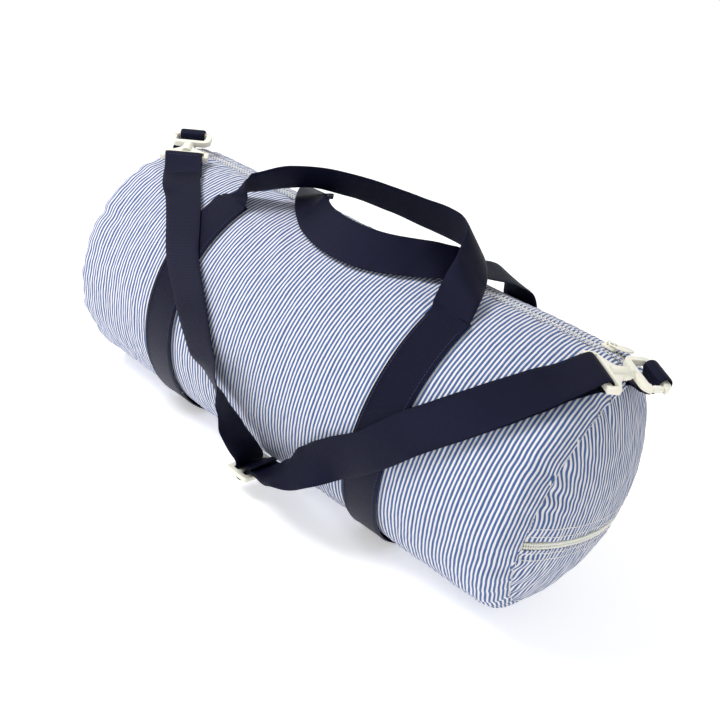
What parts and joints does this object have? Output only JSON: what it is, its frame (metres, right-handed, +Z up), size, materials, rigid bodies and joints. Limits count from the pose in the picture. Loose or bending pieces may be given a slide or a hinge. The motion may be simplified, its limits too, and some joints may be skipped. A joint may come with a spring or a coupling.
{
  "type": "duffel bag",
  "caption": "Barrel duffel bag of striped seersucker with two webbing grab handles, a clip-on shoulder strap, a zipped top and a zipped end pocket.",
  "frame": {"origin": "on the floor, at the middle of the barrel's flat underside", "axes": "+X along the barrel towards the pocket end, -Y to the side where the shoulder strap hangs, +Z up"},
  "size_m": [0.6164, 0.2861, 0.3026],
  "materials": {
    "seersucker": "blue and white striped puckered cotton",
    "navy_webbing": "tightly woven polypropylene webbing with a slight sheen",
    "zip_tape": "woven polyester tape",
    "zip_coil": "nylon coil",
    "moulded_plastic": "satin moulded acetal, ivory",
    "lining": "plain cotton lining"
  },
  "bodies": {
    "bag": {"barrel_panel": "seersucker", "band_left": "navy_webbing", "band_right": "navy_webbing", "zip_facing_front": "seersucker", "zip_facing_rear": "seersucker", "top_zip_tape_front": "zip_tape", "top_zip_tape_rear": "zip_tape", "top_zip_coil_front": "zip_coil", "top_zip_coil_rear": "zip_coil", "top_zip_stop_left": "zip_coil", "top_zip_stop_right": "zip_coil", "end_panel_left": "seersucker", "end_panel_right_upper": "seersucker", "end_panel_right_lower": "seersucker", "seam_binding_left": "zip_tape", "seam_binding_right": "zip_tape", "pocket_zip_tape_upper": "zip_tape", "pocket_zip_tape_lower": "zip_tape", "pocket_zip_coil_upper": "zip_coil", "pocket_zip_coil_lower": "zip_coil", "pocket_pouch": "lining", "end_tab_left": "navy_webbing", "end_tab_right": "navy_webbing"},
    "top_slider": {"top_zip_slider": "moulded_plastic"},
    "top_pull": {"top_zip_pull": "moulded_plastic"},
    "pocket_slider": {"pocket_zip_slider": "moulded_plastic"},
    "pocket_pull": {"pocket_zip_pull": "moulded_plastic"},
    "front_handle": {"front_handle": "navy_webbing"},
    "rear_handle": {"rear_handle": "navy_webbing"},
    "shoulder_strap": {"shoulder_strap_run": "navy_webbing", "shoulder_strap_return": "navy_webbing", "tri_glide": "moulded_plastic", "hook_base_left": "moulded_plastic", "hook_base_right": "moulded_plastic"},
    "hook_left": {"hook_left": "moulded_plastic"},
    "gate_left": {"hook_gate_left": "moulded_plastic"},
    "hook_right": {"hook_right": "moulded_plastic"},
    "gate_right": {"hook_gate_right": "moulded_plastic"}
  },
  "joints": [
    {"name": "top_zip_slide", "type": "slide", "parent": "bag", "child": "top_slider", "axis": [1, 0, 0], "range_m": [-0.455, 0]},
    {"name": "top_pull_hinge", "type": "hinge", "parent": "top_slider", "child": "top_pull", "pos_m": [0.246, 0, 0.2521], "axis": [0, 1, 0], "range_deg": [-165, 0]},
    {"name": "front_handle_hinge", "type": "hinge", "parent": "bag", "child": "front_handle", "pos_m": [0, -0.06785, 0.23259], "axis": [1, 0, 0], "range_deg": [0, 105]},
    {"name": "rear_handle_hinge", "type": "hinge", "parent": "bag", "child": "rear_handle", "pos_m": [0, 0.06785, 0.23259], "axis": [1, 0, 0], "range_deg": [-1, 0]},
    {"name": "strap_swing", "type": "hinge", "parent": "bag", "child": "shoulder_strap", "pos_m": [0.01536, -0.0097, 0.25444], "axis": [0.9998, -0.0044, -0.02], "range_deg": [-70, 0], "deforming": ["end_tab_left", "end_tab_right"]},
    {"name": "hook_left_swivel", "type": "hinge", "parent": "shoulder_strap", "child": "hook_left", "pos_m": [-0.2268, -0.0488, 0.2457], "axis": [-0.6285, 0.7333, 0.2594], "range_deg": [-10, 10]},
    {"name": "gate_left_hinge", "type": "hinge", "parent": "hook_left", "child": "gate_left", "pos_m": [-0.26739, -0.02889, 0.25297], "axis": [-0.009, 0.3266, -0.9451], "range_deg": [0, 25], "stiffness_Nm_per_rad": 0.02},
    {"name": "hook_right_swivel", "type": "hinge", "parent": "shoulder_strap", "child": "hook_right", "pos_m": [0.259, -0.0545, 0.2434], "axis": [0.6018, 0.7923, 0.1003], "range_deg": [-10, 10]},
    {"name": "gate_right_hinge", "type": "hinge", "parent": "hook_right", "child": "gate_right", "pos_m": [0.29877, -0.03182, 0.24436], "axis": [0.0831, -0.187, 0.9788], "range_deg": [0, 25], "stiffness_Nm_per_rad": 0.02},
    {"name": "pocket_zip_slide", "type": "slide", "parent": "bag", "child": "pocket_slider", "axis": [0.4342, -0.9008, 0], "range_m": [0, 0.012]},
    {"name": "pocket_pull_hinge", "type": "hinge", "parent": "pocket_slider", "child": "pocket_pull", "pos_m": [0.29251, 0.08532, 0.108], "axis": [0, 0, 1], "range_deg": [-160, 0]}
  ]
}
